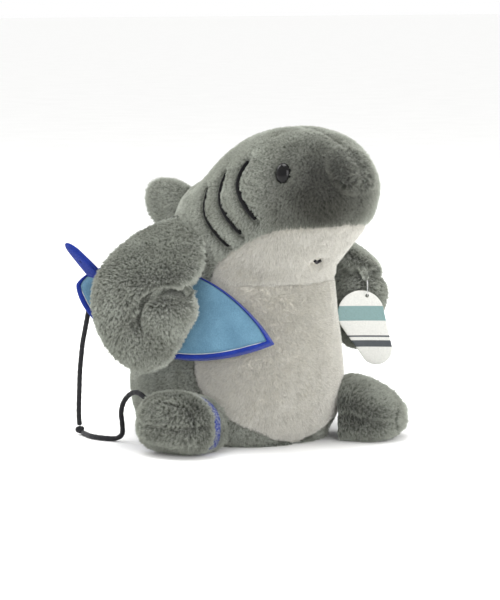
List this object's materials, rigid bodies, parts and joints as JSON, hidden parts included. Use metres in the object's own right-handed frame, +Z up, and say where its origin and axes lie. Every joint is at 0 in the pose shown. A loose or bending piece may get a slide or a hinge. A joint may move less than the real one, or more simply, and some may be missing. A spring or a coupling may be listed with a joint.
{
  "type": "plush shark",
  "caption": "Seated plush shark, grey with a white front, holding a soft surfboard tied to its ankle by a leash, with a swing tag.",
  "frame": {"origin": "centre of the flat seat face, on the surface that the toy sits on, below the middle of the body", "axes": "+Z up; the toy faces -Y; +X is towards the toy's own left side"},
  "size_m": [0.3282, 0.3118, 0.2922],
  "materials": {
    "grey_plush": "matte",
    "white_plush": "matte",
    "polyester_filling": "matte",
    "bead_bag": "matte",
    "eye_gloss": "gloss",
    "eye_washer_plastic": "matte",
    "black_fabric": "matte",
    "black_thread": "matte",
    "light_blue_fabric": "matte",
    "royal_blue_fabric": "matte",
    "board_foam": "matte",
    "black_cord": "matte",
    "tag_card": "satin",
    "clear_nylon": "satin"
  },
  "bodies": {
    "torso": {"belly_panel": "white_plush", "back_panel_right": "grey_plush", "back_panel_left": "grey_plush", "seat_panel": "grey_plush", "torso_stuffing": "polyester_filling", "seat_bead_bag": "bead_bag", "neck_stuffing": "polyester_filling", "leash_knot": "black_cord"},
    "head": {"head_panel_right": "grey_plush", "head_panel_left": "grey_plush", "jaw_panel": "white_plush", "head_stuffing": "polyester_filling", "eye_right": "eye_gloss", "eye_left": "eye_gloss", "eye_washer_right": "eye_washer_plastic", "eye_washer_left": "eye_washer_plastic", "gill_slits_right": "black_fabric", "gill_slits_left": "black_fabric", "mouth_stitch": "black_thread"},
    "dorsal_fin": {"fin_panel_right": "grey_plush", "fin_panel_left": "grey_plush", "fin_stuffing": "polyester_filling"},
    "right_arm": {"right_arm_outer_panel": "grey_plush", "right_arm_inner_panel": "grey_plush", "right_arm_stuffing": "polyester_filling", "board_outer_face": "light_blue_fabric", "board_inner_face": "royal_blue_fabric", "board_foam_core": "board_foam", "board_edging": "royal_blue_fabric", "leash_upper": "black_cord"},
    "skeg": {"board_skeg": "royal_blue_fabric"},
    "left_arm": {"left_arm_outer_panel": "grey_plush", "left_arm_inner_panel": "grey_plush", "left_arm_stuffing": "polyester_filling", "tag_fastener": "clear_nylon"},
    "tag": {"tag_card": "tag_card"},
    "right_leg": {"right_leg_upper_panel": "grey_plush", "right_leg_lower_panel": "grey_plush", "right_leg_stuffing": "polyester_filling", "ankle_cuff": "royal_blue_fabric", "leash_lower": "black_cord"},
    "left_leg": {"left_leg_upper_panel": "grey_plush", "left_leg_lower_panel": "grey_plush", "left_leg_stuffing": "polyester_filling"}
  },
  "joints": [
    {"name": "neck_nod", "type": "hinge", "parent": "torso", "child": "head", "pos_m": [0, -0.026, 0.19], "axis": [-1, 0, 0], "range_deg": [-6, 6], "stiffness_Nm_per_rad": 6, "deforming": ["neck_stuffing"]},
    {"name": "dorsal_fin_flop", "type": "hinge", "parent": "torso", "child": "dorsal_fin", "pos_m": [0, 0.0658, 0.1969], "axis": [0, -0.5101, 0.8601], "range_deg": [-12, 12], "stiffness_Nm_per_rad": 0.3},
    {"name": "right_shoulder_swing", "type": "hinge", "parent": "torso", "child": "right_arm", "pos_m": [-0.066, -0.01, 0.2], "axis": [-0.4452, 0.8954, 0], "range_deg": [0, 18], "stiffness_Nm_per_rad": 0.6, "deforming": ["leash_upper"]},
    {"name": "skeg_flop", "type": "hinge", "parent": "right_arm", "child": "skeg", "pos_m": [-0.133, 0.0376, 0.15112], "axis": [0.4349, -0.8761, -0.2079], "range_deg": [-12, 12], "stiffness_Nm_per_rad": 0.05},
    {"name": "left_shoulder_swing", "type": "hinge", "parent": "torso", "child": "left_arm", "pos_m": [0.06, -0.008, 0.2], "axis": [-0.4452, -0.8954, 0], "range_deg": [0, 18], "stiffness_Nm_per_rad": 0.6},
    {"name": "tag_swing", "type": "hinge", "parent": "left_arm", "child": "tag", "pos_m": [0.09731, -0.07073, 0.13], "axis": [-0.6159, -0.7878, 0], "range_deg": [-20, 20]},
    {"name": "right_hip_lift", "type": "hinge", "parent": "torso", "child": "right_leg", "pos_m": [-0.0832, -0.0414, 0.046], "axis": [-0.4452, 0.8954, 0], "range_deg": [0, 15], "stiffness_Nm_per_rad": 0.4, "deforming": ["leash_lower"]},
    {"name": "left_hip_lift", "type": "hinge", "parent": "torso", "child": "left_leg", "pos_m": [0.0615, -0.0737, 0.054], "axis": [-0.7682, -0.6402, 0], "range_deg": [0, 15], "stiffness_Nm_per_rad": 0.4}
  ]
}
